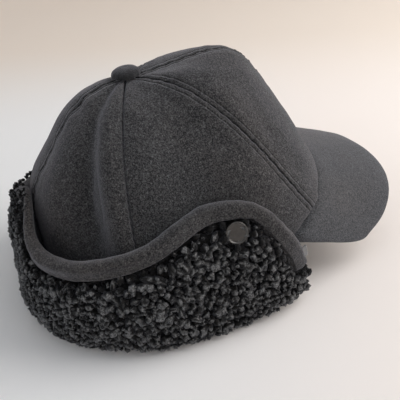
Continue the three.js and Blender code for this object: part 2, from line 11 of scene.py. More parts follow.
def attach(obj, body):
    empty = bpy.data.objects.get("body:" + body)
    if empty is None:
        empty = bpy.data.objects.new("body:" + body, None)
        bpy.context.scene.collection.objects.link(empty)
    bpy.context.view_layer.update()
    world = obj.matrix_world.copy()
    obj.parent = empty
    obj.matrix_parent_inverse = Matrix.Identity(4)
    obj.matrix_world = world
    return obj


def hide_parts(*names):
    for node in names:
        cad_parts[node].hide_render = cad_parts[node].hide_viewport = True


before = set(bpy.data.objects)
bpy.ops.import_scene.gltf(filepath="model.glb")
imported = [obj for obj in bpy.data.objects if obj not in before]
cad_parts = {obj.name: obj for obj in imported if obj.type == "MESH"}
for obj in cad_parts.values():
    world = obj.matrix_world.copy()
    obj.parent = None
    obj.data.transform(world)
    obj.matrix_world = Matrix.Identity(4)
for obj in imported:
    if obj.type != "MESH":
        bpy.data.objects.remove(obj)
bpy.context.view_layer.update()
mm = 0.001
crownMiddle = Vector((0.0001, 0.0195, 0.0))  # the axis that azimuths are counted round
up = Vector((0, 0, 1))
headMiddle = crownMiddle + up * 0.04  # a point inside the crown that all its panels face away from
weld = 0.01 * mm  # vertices closer than this are one

# Azimuths are in degrees round from the front, positive towards the wearer's right.


# Camera, at the photograph's angle
cameraPlan = {
    "place": (-0.2931, 0.1112, 0.2282),
    "yaw": -20.7,  # degrees, from +X towards +Y
    "pitch": 31.7,
    "roll": -3.9,
    "focal": 520.8,  # in pixels of a frame 400 wide
    "frame": 400,
    "sensor": 36,
}


def makeCamera(plan):
    yaw, pitch, roll = (math.radians(plan[name]) for name in ("yaw", "pitch", "roll"))
    ahead = Vector((math.cos(yaw) * math.cos(pitch), math.sin(yaw) * math.cos(pitch), -math.sin(pitch)))
    level = Vector((math.sin(yaw), -math.cos(yaw), 0))
    above = level.cross(ahead)
    right = level * math.cos(roll) + above * math.sin(roll)
    top = above * math.cos(roll) - level * math.sin(roll)
    data = bpy.data.cameras.new("camera")
    data.sensor_width = plan["sensor"]
    data.lens = plan["sensor"] * plan["focal"] / plan["frame"]
    data.clip_start = 0.01
    camera = bpy.data.objects.new("camera", data)
    turn = Matrix((right, top, -ahead)).transposed()
    camera.matrix_world = Matrix.Translation(plan["place"]) @ turn.to_4x4()
    bpy.context.scene.collection.objects.link(camera)
    bpy.context.scene.camera = camera


makeCamera(cameraPlan)
print("camera in place")


# Finishes
class Wire:  # a shader socket: sums, products and powers of it add Math nodes
    def __init__(self, finish, socket):
        self.finish = finish
        self.socket = socket

    def maths(self, operation, *inputs):
        return self.finish.node("ShaderNodeMath", {"operation": operation}, dict(enumerate(inputs)))

    def __add__(self, other):
        return self.maths("ADD", self, other)

    def __radd__(self, other):
        return self.maths("ADD", other, self)

    def __sub__(self, other):
        return self.maths("SUBTRACT", self, other)

    def __mul__(self, other):
        return self.maths("MULTIPLY", self, other)

    def __pow__(self, other):
        return self.maths("POWER", self, other)

    def size(self):
        return self.maths("ABSOLUTE", self)

    def ramp(self, low, high):  # 0 at low, 1 at high, and smooth between
        return self.finish.node(
            "ShaderNodeMapRange",
            {"interpolation_type": "SMOOTHSTEP"},
            {"Value": self, "From Min": low, "From Max": high},
        )


class Finish:  # one material: its Principled shader and the nodes that feed it
    def __init__(self, name, constants):
        self.material = bpy.data.materials.new(name)
        self.material.use_nodes = True
        self.tree = self.material.node_tree
        self.shader = self.tree.nodes["Principled BSDF"]
        for socket, value in constants.items():
            self.shader.inputs[socket].default_value = value
        self.place = self.node("ShaderNodeTexCoord", output="Object")

    def node(self, kind, settings=None, inputs=None, output=0):
        made = self.tree.nodes.new(kind)
        for name, value in (settings or {}).items():
            setattr(made, name, value)
        for name, value in (inputs or {}).items():
            if isinstance(value, Wire):
                self.tree.links.new(value.socket, made.inputs[name])
            else:
                made.inputs[name].default_value = value
        return Wire(self, made.outputs[output])

    def noise(self, scale, detail=2.0, distortion=0.0, place=None):
        inputs = {"Vector": place or self.place, "Scale": scale, "Detail": detail, "Distortion": distortion}
        return self.node("ShaderNodeTexNoise", None, inputs)

    def stretched(self, scale, turn=(0, 0, 0)):  # coordinates scaled by axis, for grain with a direction
        inputs = {"Vector": self.place, "Scale": scale, "Rotation": turn}
        return self.node("ShaderNodeMapping", None, inputs)

    def mix(self, factor, first, second):
        inputs = {0: factor, 6: first, 7: second}
        return self.node("ShaderNodeMix", {"data_type": "RGBA"}, inputs, 2)

    def tinted(self, colour, tint):  # the colour multiplied by the tint
        settings = {"data_type": "RGBA", "blend_type": "MULTIPLY"}
        return self.node("ShaderNodeMix", settings, {0: 1.0, 6: colour, 7: tint}, 2)

    def bump(self, height, strength, distance):
        inputs = {"Height": height, "Strength": strength, "Distance": distance}
        return self.node("ShaderNodeBump", None, inputs)

    def axis(self, number):  # the coordinate along X, Y or Z, as 0, 1 or 2
        return self.node("ShaderNodeSeparateXYZ", None, {"Vector": self.place}, number)

    def along(self, way):  # how far along a direction
        inputs = {0: self.place, 1: way}
        return self.node("ShaderNodeVectorMath", {"operation": "DOT_PRODUCT"}, inputs, 1)

    def attribute(self, name):
        return self.node("ShaderNodeAttribute", {"attribute_name": name}, None, "Fac")

    def cells(self, scale):  # a random value in each small cell
        inputs = {"Vector": self.place, "Scale": scale}
        cell = self.node("ShaderNodeTexVoronoi", None, inputs, "Color")
        return self.node("ShaderNodeSeparateColor", None, {"Color": cell})

    def specks(self, scale, radius, share):  # small spots, in a share of the cells
        inputs = {"Vector": self.place, "Scale": scale}
        away = self.node("ShaderNodeTexVoronoi", None, inputs, "Distance")
        return away.ramp(radius, radius * 0.4) * self.cells(scale).ramp(1 - share, 1.01 - share)

    def feed(self, wires):
        for socket, wire in wires.items():
            self.tree.links.new(wire.socket, self.shader.inputs[socket])
        return self.material


def grey(level, warm=0.0):  # a near neutral colour, warmer or cooler
    return (level * (1 + warm), level, level * (1 - warm), 1)


woolLooks = {
    "crown_wool": {"level": 0.0275, "warm": 0.01, "fuzz": 0.9, "lint": 0.15, "pepper": 1.35, "seams": True},
    "button_wool": {"level": 0.01, "warm": -0.02, "fuzz": 0.9, "lint": 0.04, "pepper": 0.5},
    "peak_wool": {"level": 0.041, "warm": -0.05, "fuzz": 0.55, "lint": 0.16, "pepper": 0.6},
    "flap_wool": {"level": 0.026, "warm": 0.0, "fuzz": 0.9, "lint": 0.03, "pepper": 0.7},
    "binding_wool": {"level": 0.024, "warm": 0.05, "fuzz": 1.0, "lint": 0.05, "pepper": 1.35},
}


woolNap = {  # how many features each layer of the felted cloth has in a metre
    "patches": 24, "felt": 420, "fibres": (2300, 700, 1100), "cross": (650, 2100, 1300), "grain": 1700,
    "pepper": 1750, "flecks": 1350, "dye": 13, "grooveShadeBreakup": 120, "lint": 95,
}
woolDyes = ((0.96, 1.0, 1.06, 1), (1.04, 0.99, 0.98, 1))  # the cooler and the warmer tint of the cloth


def woolFinish(name, look, nap):
    # gap is a near black, painted as shade in each seam's crack and topstitch groove
    shares = (0.22, 2.1, 4.5, 0.08)
    dark, light, fleck, gap = (grey(look["level"] * share, look["warm"]) for share in shares)
    finish = Finish(name, {
        "Roughness": 0.94,
        "Specular IOR Level": 0.25,
        "Sheen Weight": 0.28,
        "Sheen Roughness": 0.55,
        "Sheen Tint": (0.86, 0.88, 1.0, 1),
    })
    patches = finish.noise(nap["patches"], 3)
    felt = finish.noise(nap["felt"], 3, 1.4)
    fibres = finish.noise(1, 2, 0.6, finish.stretched(nap["fibres"], (0.4, 0.7, 0.2)))
    cross = finish.noise(1, 2, 0.6, finish.stretched(nap["cross"], (1.1, 0.3, 0.9)))
    grain = finish.noise(nap["grain"], 1)
    pepper = finish.cells(nap["pepper"])
    broad = (patches - 0.5) * 0.5 + (felt - 0.5) * 0.15
    tone = broad + (grain - 0.5) * 1.1 + (pepper - 0.5) * look["pepper"] + 0.5
    colour = finish.mix(tone.ramp(0.0, 1.0), dark, light)
    flecks = finish.cells(nap["flecks"]).ramp(0.86, 1.0)
    colour = finish.mix(flecks * 0.45 * look["pepper"], colour, fleck)
    dye = finish.noise(nap["dye"], 2).ramp(0.3, 0.7)
    colour = finish.tinted(colour, finish.mix(dye, *woolDyes))
    height = felt * 0.15 + fibres * 0.45 + cross * 0.45 + grain * 0.5
    if look.get("seams"):
        away = finish.attribute("seamDistance")  # in millimetres
        rows = finish.attribute("seamRows")
        channel = (away - stitchPlan["aside"]).size().ramp(0.8, 0.0) * rows
        crack = away.ramp(1.1, 0.45)
        height = height - channel * 0.8 - crack * 1.0
        # painted shade: the topstitch groove and the seam's crack are darkened towards gap, and noise
        # breaks up the groove's shade
        grooveShadeBreakup = finish.noise(nap["grooveShadeBreakup"], 2)
        colour = finish.mix(channel * grooveShadeBreakup * 0.4 + crack * 0.95, colour, gap)
    lint = finish.specks(nap["lint"], 0.035, look["lint"])
    colour = finish.mix(lint * 0.75, colour, grey(0.42))
    return finish.feed({"Base Color": colour, "Normal": finish.bump(height, look["fuzz"], 0.5 * mm)})


pileLook = {  # grey levels painted as shade in the gaps and as light on the tips, and how many features each layer has in a metre
    "root": 0.0015, "tipLight": 0.245, "curl": 700, "fibre": 1300, "patches": 60, "fade": 1.9, "depth": 1.1 * mm,
}


def pileFinish(name, look):
    finish = Finish(name, {
        "Roughness": 0.88,
        "Specular IOR Level": 0.3,
        "Sheen Weight": 0.12,
        "Sheen Roughness": 0.4,
        "Sheen Tint": (0.8, 0.84, 1.0, 1),
    })
    tipLight = finish.attribute("tipLight")  # painted light: 0 in the shaded gaps between curls, 1 at their lit tops
    curl = finish.noise(look["curl"], 3, 1.8)
    fibre = finish.noise(look["fibre"], 2, 0.8)
    patches = finish.noise(look["patches"], 2)
    strands = (curl.ramp(0.3, 0.7) * 0.55 + fibre.ramp(0.35, 0.65) * 0.6) * (patches * 0.9 + 0.5)
    # painted light and shade: the tips brighter, the gaps darker, sharpened by the power fade
    tone = tipLight.ramp(0.2, 1.0) ** look["fade"] * strands
    colour = finish.mix(tone, grey(look["root"]), grey(look["tipLight"], -0.03))
    height = curl * 0.7 + fibre * 0.6
    return finish.feed({"Base Color": colour, "Normal": finish.bump(height, 1.0, look["depth"])})


def studFinish():  # a dark glossy plastic with a paler rim
    finish = Finish("stud_plastic", {"Coat Roughness": 0.12, "IOR": 1.5})
    haze = finish.noise(220, 3)
    scuff = finish.noise(1, 3, 0.4, finish.stretched((1800, 400, 700)))
    ring = finish.attribute("ring")
    colour = finish.mix(haze, grey(0.006, 0.12), grey(0.016, 0.1))
    colour = finish.mix(ring * 0.6, colour, grey(0.05, 0.05))
    return finish.feed({
        "Base Color": colour,
        "Roughness": 0.16 + scuff * 0.16,
        "Coat Weight": 0.4 + haze * 0.3,
        "Normal": finish.bump(scuff, 0.12, 0.1 * mm),
    })


tabLook = {"thread": 0.34 * mm, "level": 0.26}  # the pitch of its threads, and its grey level


def tabFinish(look):
    finish = Finish("tab_weave", {"Roughness": 0.8, "Sheen Weight": 0.2})
    turns = 2 * math.pi / look["thread"]
    aside, above = finish.axis(0), finish.axis(2)
    warp = aside.maths("SINE", aside * turns)
    weft = above.maths("SINE", above * turns)
    weave = warp * weft * 0.5 + 0.5
    colour = finish.mix(weave, grey(look["level"] * 0.62, -0.04), grey(look["level"], -0.03))
    return finish.feed({"Base Color": colour, "Normal": finish.bump(weave, 0.6, 0.15 * mm)})


def threadFinish():
    finish = Finish("sewing_thread", {"Roughness": 0.6, "Sheen Weight": 0.1})
    twist = finish.noise(1500, 1)
    colour = finish.mix(twist, grey(0.012), grey(0.05))
    return finish.feed({"Base Color": colour, "Normal": finish.bump(twist, 0.4, 0.1 * mm)})


stitchPlan = {"aside": 3.3, "pitch": 3.1, "length": 2.3, "thick": 0.42, "proud": 0.08}  # millimetres
finishes = {name: woolFinish(name, look, woolNap) for name, look in woolLooks.items()}
finishes["pile"] = pileFinish("pile", pileLook)
finishes["stud_plastic"] = studFinish()
finishes["tab_weave"] = tabFinish(tabLook)
finishes["thread"] = threadFinish()
print("finishes made")


# Common steps
def mergedCopy(node):  # a CAD node's solid with its triangles joined into quads
    shape = bmesh.new()
    shape.from_mesh(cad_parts[node].data)
    bmesh.ops.remove_doubles(shape, verts=shape.verts, dist=weld)
    flat, skewed = math.radians(50), math.radians(80)
    bmesh.ops.join_triangles(
        shape, faces=shape.faces, angle_face_threshold=flat, angle_shape_threshold=skewed,
    )
    return shape


def smoothed(shape, verts, rounds=1):
    for _ in range(rounds):
        bmesh.ops.smooth_vert(
            shape, verts=verts, factor=0.5, use_axis_x=True, use_axis_y=True, use_axis_z=True,
        )


def spun(profile, steps):  # a surface turned about Z, from a profile of (x, z) points
    shape = bmesh.new()
    verts = [shape.verts.new((x, 0, z)) for x, z in profile]
    edges = [shape.edges.new(pair) for pair in zip(verts, verts[1:])]
    bmesh.ops.spin(
        shape, geom=verts + edges, cent=(0, 0, 0), axis=(0, 0, 1), angle=2 * math.pi,
        steps=steps, use_merge=True, use_duplicate=False,
    )
    bmesh.ops.remove_doubles(shape, verts=shape.verts, dist=weld)
    return shape


def creaseCorners(shape, plan):  # keeps a cloth's cut edges from rounding away
    layers = shape.edges.layers.float
    layer = layers.get("crease_edge") or layers.new("crease_edge")
    for edge in shape.edges:
        if len(edge.link_faces) == 2 and edge.calc_face_angle(0) > math.radians(plan["corner"]):
            edge[layer] = plan["crease"]


def newPiece(name, shape, finish, replaced=None):
    mesh = bpy.data.meshes.new(name)
    shape.to_mesh(mesh)
    shape.free()
    piece = bpy.data.objects.new(name, mesh)
    bpy.context.scene.collection.objects.link(piece)
    return dressPiece(piece, finish, replaced)


def dressPiece(piece, finish, replaced=None):
    piece.data.materials.clear()
    piece.data.materials.append(finishes[finish])
    piece.data.shade_smooth()
    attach(piece, "root")
    if replaced:
        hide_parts(replaced)
    return piece


def vertexArrays(mesh):
    points = np.zeros(len(mesh.vertices) * 3)
    normals = np.zeros(len(mesh.vertices) * 3)
    mesh.vertices.foreach_get("co", points)
    mesh.vertices.foreach_get("normal", normals)
    return points.reshape(-1, 3), normals.reshape(-1, 3)


def setPoints(mesh, points):
    mesh.vertices.foreach_set("co", points.astype(np.float32).ravel())
    mesh.update()


def subdivide(piece, levels, rounds=2):  # an applied subdivision surface, through the solid's corners
    corners, _ = vertexArrays(piece.data)
    cage = corners.copy()
    modifier = piece.modifiers.new("Subdivision", "SUBSURF")
    modifier.levels = levels
    modifier.render_levels = levels
    modifier.boundary_smooth = "PRESERVE_CORNERS"
    for _ in range(rounds):
        smooth, _ = vertexArrays(piece.evaluated_get(bpy.context.evaluated_depsgraph_get()).data)
        cage += corners - smooth[:len(corners)]
        setPoints(piece.data, cage)
    fine = bpy.data.meshes.new_from_object(piece.evaluated_get(bpy.context.evaluated_depsgraph_get()))
    piece.modifiers.clear()
    rough = piece.data
    piece.data = fine
    fine.name = rough.name + "_mesh"
    bpy.data.meshes.remove(rough)


def setValues(mesh, name, values):
    layer = mesh.attributes.new(name, "FLOAT", "POINT")
    layer.data.foreach_set("value", np.asarray(values, np.float32))


def unevenness(points, scale, seed):  # smooth noise from -1 to 1 at each point, with features of a size
    shift = Vector((seed * 7.3, seed * 3.1, seed * 5.7))
    return np.array([noise.noise(Vector(point) / scale + shift) for point in points])


def smoothRamp(values, low, high):
    share = np.clip((values - low) / (high - low), 0, 1)
    return share * share * (3 - 2 * share)


# Crown: the six panels, with their seams, folds and puckers
crownSeams = [
    {"panels": ("crown_front_right", "crown_front_left"), "rows": 1},
    {"panels": ("crown_front_right", "crown_side_right"), "rows": 1},
    {"panels": ("crown_side_right", "crown_back_right"), "rows": 0},
    {"panels": ("crown_back_right", "crown_back_left"), "rows": 1},
    {"panels": ("crown_back_left", "crown_side_left"), "rows": 0},
    {"panels": ("crown_side_left", "crown_front_left"), "rows": 1},
]
crownPlan = {
    "levels": 3,
    "corner": 45,  # degrees between faces, past which an edge is creased
    "crease": 0.75,
    "ridge": 0.32 * mm,  # how far the seam allowance lifts the cloth beside a seam
    "ridgeAside": 1.7,  # millimetres from the seam
    "ridgeWide": 1.5,  # millimetres
    "channelWide": 0.8,  # millimetres, of the groove that the topstitching pulls in
    "channelDepth": 0.14 * mm,
    "puckerReach": 6.5,  # millimetres from the seam
    "puckerPitch": 7.0,  # millimetres along it
    "puckers": 0.26 * mm,
    "puckerBend": 30 * mm,
    "plainRidge": 0.12,  # the share of the ridge, and of the puckers, at a seam with no topstitching
    "plainPuckers": 0.15,
    "waves": 0.9 * mm,  # broad unevenness of the cloth
    "waveSize": 34 * mm,
    "ripples": 0.22 * mm,
    "rippleSize": 9 * mm,
    "soften": ((2.5, 10), (5, 30), (8, 60)),  # millimetres from a seam, and rounds of smoothing beyond
    "hem": 4 * mm,  # no smoothing this near the rim, or this near the button
    "eyelet": 12 * mm,
}
# The lines below are (degrees round, millimetres up), and their sizes are in millimetres.
crownFold = {  # behind its line the cloth drops by the depth, in a stretch as wide as the drop
    "line": (
        (138.5, 50), (138, 60), (137.6, 69), (137.7, 84), (139.3, 94),
        (142.6, 102), (148, 110), (161, 116), (170, 121), (178, 125),
    ),
    "low": 44, "high": 122, "fadeIn": 14, "fadeOut": 3,
    "depth": 1.3, "drop": 16,
    "reach": 10,  # how soon the cloth comes back up behind the drop
    "before": 0.3,  # the share of the drop that lies before the line
}
swellFades = {"in": 12, "out": 5}
crownSwells = [  # broad soft swells and hollows
    {
        "line": ((74.8, 102), (81.7, 112), (89.6, 119), (105, 124)),
        "low": 88, "high": 124, "rise": -1.1, "wide": 8,
    },
    {
        "line": ((100, 90), (113, 108), (122, 114.5), (138, 119)),
        "low": 84, "high": 121, "rise": 0.9, "wide": 7,
    },
    {"line": ((160, 60), (163, 80), (168, 100)), "low": 55, "high": 100, "rise": 1.0, "wide": 11},
    {"line": ((44, 90), (40, 115), (36, 125)), "low": 70, "high": 126, "rise": -0.7, "wide": 7},
    {"line": ((22, 100), (18, 120)), "low": 85, "high": 126, "rise": 0.6, "wide": 8},
]


def degreesRound(points):
    return np.degrees(np.arctan2(-(points[:, 0] - crownMiddle.x), -(points[:, 1] - crownMiddle.y)))


def besideLine(points, line):  # how far round from a line each point lies, in millimetres
    radius = np.hypot(points[:, 0] - crownMiddle.x, points[:, 1] - crownMiddle.y) / mm
    degrees, heights = zip(*line)
    away = (degreesRound(points) - np.interp(points[:, 2] / mm, heights, degrees) + 180) % 360 - 180
    return np.radians(away) * radius


def foldRelief(points):
    height = points[:, 2] / mm
    fold = crownFold
    beside = besideLine(points, fold["line"])
    start, end = -fold["before"] * fold["drop"], (1 - fold["before"]) * fold["drop"]
    fall = smoothRamp(beside, start, end) * np.exp(-(np.maximum(beside - end, 0) / fold["reach"]) ** 2)
    ends = smoothRamp(height, fold["low"], fold["low"] + fold["fadeIn"])
    ends = ends * (1 - smoothRamp(height, fold["high"] - fold["fadeOut"], fold["high"]))
    relief = -fall * fold["depth"] * ends
    for swell in crownSwells:
        beside = besideLine(points, swell["line"])
        ends = smoothRamp(height, swell["low"], swell["low"] + swellFades["in"])
        ends = ends * (1 - smoothRamp(height, swell["high"], swell["high"] + swellFades["out"]))
        relief += np.exp(-((beside / swell["wide"]) ** 2)) * swell["rise"] * ends
    return relief * mm


def seamLine(first, second):  # where two panels meet on the outside, from the rim to the button
    shapes = [mergedCopy(name) for name in (first, second)]
    meeting = 0.7 * mm  # corners of two panels closer than this are on their seam
    tree = KDTree(len(shapes[1].verts))
    for index, vert in enumerate(shapes[1].verts):
        tree.insert(vert.co, index)
    tree.balance()
    corners = []
    for vert in shapes[0].verts:
        near, _, gap = tree.find(vert.co)
        if gap < meeting:
            corners.append((vert.co + near) / 2)
    for shape in shapes:
        shape.free()
    outside = []
    for corner in corners:
        others = [other for other in corners if other is not corner]
        partner = min(others, key=lambda other: (other - corner).length)
        if (corner - headMiddle).length > (partner - headMiddle).length:
            outside.append(corner)
    line = [min(outside, key=lambda point: point.z)]
    rest = [point for point in outside if point is not line[0]]
    while rest:
        following = min(rest, key=lambda point: (point - line[-1]).length)
        rest.remove(following)
        line.append(following)
    return line


def evenLine(line, step):  # points at even steps on a smooth curve through a line's points
    padded = [line[0] * 2 - line[1], *line, line[-1] * 2 - line[-2]]
    cuts = 12
    fine = []
    for i in range(1, len(padded) - 2):
        before, start, end, after = padded[i - 1:i + 3]
        for k in range(cuts):
            t = k / cuts
            bend = (2 * start - 2 * end + (end - before) / 2 + (after - start) / 2) * t
            bend = (bend + 3 * end - 3 * start - (end - before) - (after - start) / 2) * t
            fine.append((bend + (end - before) / 2) * t + start)
    fine.append(line[-1])
    even, travelled = [fine[0]], 0.0
    for start, end in zip(fine, fine[1:]):
        travelled += (end - start).length
        if travelled >= step:
            even.append(end)
            travelled = 0.0
    return even


def seamFields(points, seams):  # each point's distance to the nearest seam, the way along it, and its rows
    tree = KDTree(sum(len(seam["line"]) for seam in seams))
    marks = []
    apart = 1000  # more steps than a seam has, so that each seam's puckers start elsewhere
    for number, seam in enumerate(seams):
        for step, point in enumerate(seam["line"]):
            tree.insert(point, len(marks))
            marks.append((step + number * apart, seam["rows"]))
    tree.balance()
    found = [tree.find(Vector(point)) for point in points]
    away = np.array([distance for _, _, distance in found]) / mm
    along = np.array([marks[index][0] for _, index, _ in found], float)
    rows = np.array([marks[index][1] for _, index, _ in found], float)
    return away, along, rows


def reliefOfCrown(points, normals, seams, plan):
    away, along, rows = seamFields(points, seams)
    outward = np.einsum("ij,ij->i", points - np.array(headMiddle), normals) > 0
    ridgeShare = plan["plainRidge"] + (1 - plan["plainRidge"]) * rows
    ridge = np.exp(-(((away - plan["ridgeAside"]) / plan["ridgeWide"]) ** 2)) * ridgeShare * plan["ridge"]
    channel = np.exp(-(((away - stitchPlan["aside"]) / plan["channelWide"]) ** 2))
    channel = channel * rows * plan["channelDepth"]
    puckerShare = plan["plainPuckers"] + (1 - plan["plainPuckers"]) * rows
    pucker = np.sin(along * 2 * np.pi / plan["puckerPitch"] + 3 * unevenness(points, plan["puckerBend"], 3))
    pucker = pucker * np.exp(-((away / plan["puckerReach"]) ** 2)) * plan["puckers"] * puckerShare
    waves = unevenness(points, plan["waveSize"], 1) * plan["waves"]
    ripples = unevenness(points, plan["rippleSize"], 2) * plan["ripples"]
    shared = pucker + waves + ripples + foldRelief(points)
    return np.where(outward, shared + ridge - channel, shared), away, rows


def softenPanel(panel, seams, plan):  # evens out the solid's flat faces, away from the panel's edges
    points, _ = vertexArrays(panel.data)
    away, _, _ = seamFields(points, seams)
    button = np.array([vert.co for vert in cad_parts["top_button"].data.vertices]).mean(axis=0)
    inside = points[:, 2] > points[:, 2].min() + plan["hem"]
    inside &= np.linalg.norm(points[:, :2] - button[:2], axis=1) > plan["eyelet"]
    shape = bmesh.new()
    shape.from_mesh(panel.data)
    for gap, rounds in plan["soften"]:
        free = [vert for vert, chosen in zip(shape.verts, inside & (away > gap)) if chosen]
        smoothed(shape, free, rounds)
    shape.to_mesh(panel.data)
    shape.free()


def makePanel(node, seams, plan):
    shape = mergedCopy(node)
    creaseCorners(shape, plan)
    panel = newPiece(node + "_cloth", shape, "crown_wool", node)
    subdivide(panel, plan["levels"])
    softenPanel(panel, seams, plan)
    points, normals = vertexArrays(panel.data)
    relief, away, rows = reliefOfCrown(points, normals, seams, plan)
    setPoints(panel.data, points + normals * relief[:, None])
    setValues(panel.data, "seamDistance", away)
    setValues(panel.data, "seamRows", rows)
    panel.data.shade_smooth()
    return panel


for seam in crownSeams:
    seam["line"] = evenLine(seamLine(*seam["panels"]), 1.0 * mm)
panelNames = sorted({name for seam in crownSeams for name in seam["panels"]})
panels = [makePanel(name, crownSeams, crownPlan) for name in panelNames]
print("crown panels made")


# Small repeated things, joined into one mesh
def shapeArrays(shape):
    bmesh.ops.triangulate(shape, faces=shape.faces)
    shape.verts.ensure_lookup_table()
    points = np.array([vert.co for vert in shape.verts])
    faces = np.array([[vert.index for vert in face.verts] for face in shape.faces])
    shape.free()
    return points, faces


def joinedPiece(name, parts, finish, values=None):  # parts: a list of (points, faces) pairs
    offsets = np.cumsum([0] + [len(points) for points, _ in parts])
    points = np.concatenate([points for points, _ in parts])
    faces = np.concatenate([faces + offset for (_, faces), offset in zip(parts, offsets)])
    mesh = bpy.data.meshes.new(name)
    mesh.vertices.add(len(points))
    mesh.loops.add(len(faces) * 3)
    mesh.polygons.add(len(faces))
    mesh.loops.foreach_set("vertex_index", faces.ravel().astype(np.int32))
    mesh.polygons.foreach_set("loop_start", np.arange(0, len(faces) * 3, 3, dtype=np.int32))
    setPoints(mesh, points)
    mesh.validate()
    # values: the light or shade painted at each point
    if values is not None:
        setValues(mesh, "tipLight", np.concatenate(values))
    piece = bpy.data.objects.new(name, mesh)
    bpy.context.scene.collection.objects.link(piece)
    return dressPiece(piece, finish)


def surfaceOf(pieces):  # a search tree over the faces of some pieces
    points, faces, offset = [], [], 0
    for piece in pieces:
        points += [vert.co.copy() for vert in piece.data.vertices]
        faces += [[corner + offset for corner in face.vertices] for face in piece.data.polygons]
        offset = len(points)
    return BVHTree.FromPolygons(points, faces)


# Topstitching: a row of thread on each side of the seams that have rows
def stitchShape(plan):
    shape = bmesh.new()
    bmesh.ops.create_uvsphere(shape, u_segments=6, v_segments=5, radius=0.5)
    size = Vector((plan["length"], plan["thick"], plan["thick"])) * mm
    bmesh.ops.scale(shape, vec=size, verts=shape.verts)
    return shapeArrays(shape)


def stitchRows(seams, plan, cloth):
    points, faces = stitchShape(plan)
    parts = []
    for seam in seams:
        if not seam["rows"]:
            continue
        line = seam["line"]
        step = int(round(plan["pitch"]))
        for i in range(step, len(line) - 4 * step, step):
            ahead = (line[i + 1] - line[i - 1]).normalized()
            _, normal, _, _ = cloth.find_nearest(line[i])
            aside = ahead.cross(normal).normalized() * plan["aside"] * mm
            for side in (-1, 1):
                spot, facing, _, _ = cloth.find_nearest(line[i] + aside * side)
                along = (ahead - facing * ahead.dot(facing)).normalized()
                turn = Matrix((along, facing.cross(along), facing)).transposed()
                moved = points @ np.array(turn).T + np.array(spot + facing * plan["proud"] * mm)
                parts.append((moved, faces))
    return joinedPiece("topstitching", parts, "thread")


crownSurface = surfaceOf(panels)
stitching = stitchRows(crownSeams, stitchPlan, crownSurface)
print("topstitching sewn:", len(stitching.data.polygons), "faces")


# Button on top, covered with the crown's cloth
buttonPlan = {
    "levels": 3,
    "corner": 70,
    "crease": 0.3,
    "gathers": 11,
    "gatherDepth": 0.16 * mm,
    "lumps": 0.25 * mm,
    "lumpSize": 5 * mm,
}


def makeButton(plan):
    shape = mergedCopy("top_button")
    creaseCorners(shape, plan)
    button = newPiece("top_button_cloth", shape, "button_wool", "top_button")
    subdivide(button, plan["levels"])
    points, normals = vertexArrays(button.data)
    middle = points.mean(axis=0)
    turn = np.arctan2(points[:, 1] - middle[1], points[:, 0] - middle[0])
    lean = 1 - np.clip(normals[:, 2], 0, 1)
    relief = np.cos(turn * plan["gathers"]) * lean * plan["gatherDepth"]
    relief += unevenness(points, plan["lumpSize"], 4) * plan["lumps"]
    setPoints(button.data, points + normals * relief[:, None])


makeButton(buttonPlan)
print("button covered")


# Peak: cloth drawn over a curved board
peakPlan = {
    "levels": 3,
    "corner": 60,
    "crease": 0.25,
    "waves": 0.35 * mm,
    "waveSize": 26 * mm,
    "ripples": 0.0875 * mm,
    "rippleSize": 7 * mm,
}


def makePeak(plan):
    shape = mergedCopy("peak")
    creaseCorners(shape, plan)
    peak = newPiece("peak_cloth", shape, "peak_wool", "peak")
    subdivide(peak, plan["levels"])
    points, normals = vertexArrays(peak.data)
    relief = unevenness(points, plan["waveSize"], 5) * plan["waves"]
    relief += unevenness(points, plan["rippleSize"], 6) * plan["ripples"]
    setPoints(peak.data, points + normals * relief[:, None])


makePeak(peakPlan)
print("peak covered")


# Flap: its cloth, and the binding rolled along its edge
flapPlan = {"levels": 2, "corner": 60, "crease": 0.4, "waves": 0.2 * mm, "waveSize": 12 * mm}
bindingPlan = {
    "levels": 3,
    "waves": 0.5 * mm,
    "waveSize": 17 * mm,
    "ripples": 0.3 * mm,
    "rippleSize": 5 * mm,
    "tuck": 2.2 * mm,  # how far its underside turns in towards the crown
}


def makeFlapCloth(plan):
    shape = mergedCopy("ear_flap_wool")
    creaseCorners(shape, plan)
    cloth = newPiece("ear_flap_cloth", shape, "flap_wool", "ear_flap_wool")
    subdivide(cloth, plan["levels"])
    points, normals = vertexArrays(cloth.data)
    relief = unevenness(points, plan["waveSize"], 7) * plan["waves"]
    setPoints(cloth.data, points + normals * relief[:, None])
    return cloth


def makeBinding(plan):
    shape = mergedCopy("flap_binding")
    binding = newPiece("flap_binding_cloth", shape, "binding_wool", "flap_binding")
    subdivide(binding, plan["levels"])
    points, normals = vertexArrays(binding.data)
    relief = unevenness(points, plan["waveSize"], 8) * plan["waves"]
    relief += unevenness(points, plan["rippleSize"], 9) * plan["ripples"]
    outward = ((points - np.array(crownMiddle)) * normals)[:, :2].sum(axis=1) > 0
    relief -= outward * smoothRamp(-normals[:, 2], -0.5, 0.4) * plan["tuck"]
    setPoints(binding.data, points + normals * relief[:, None])
    return binding


flapCloth = makeFlapCloth(flapPlan)
binding = makeBinding(bindingPlan)
print("flap and binding made")
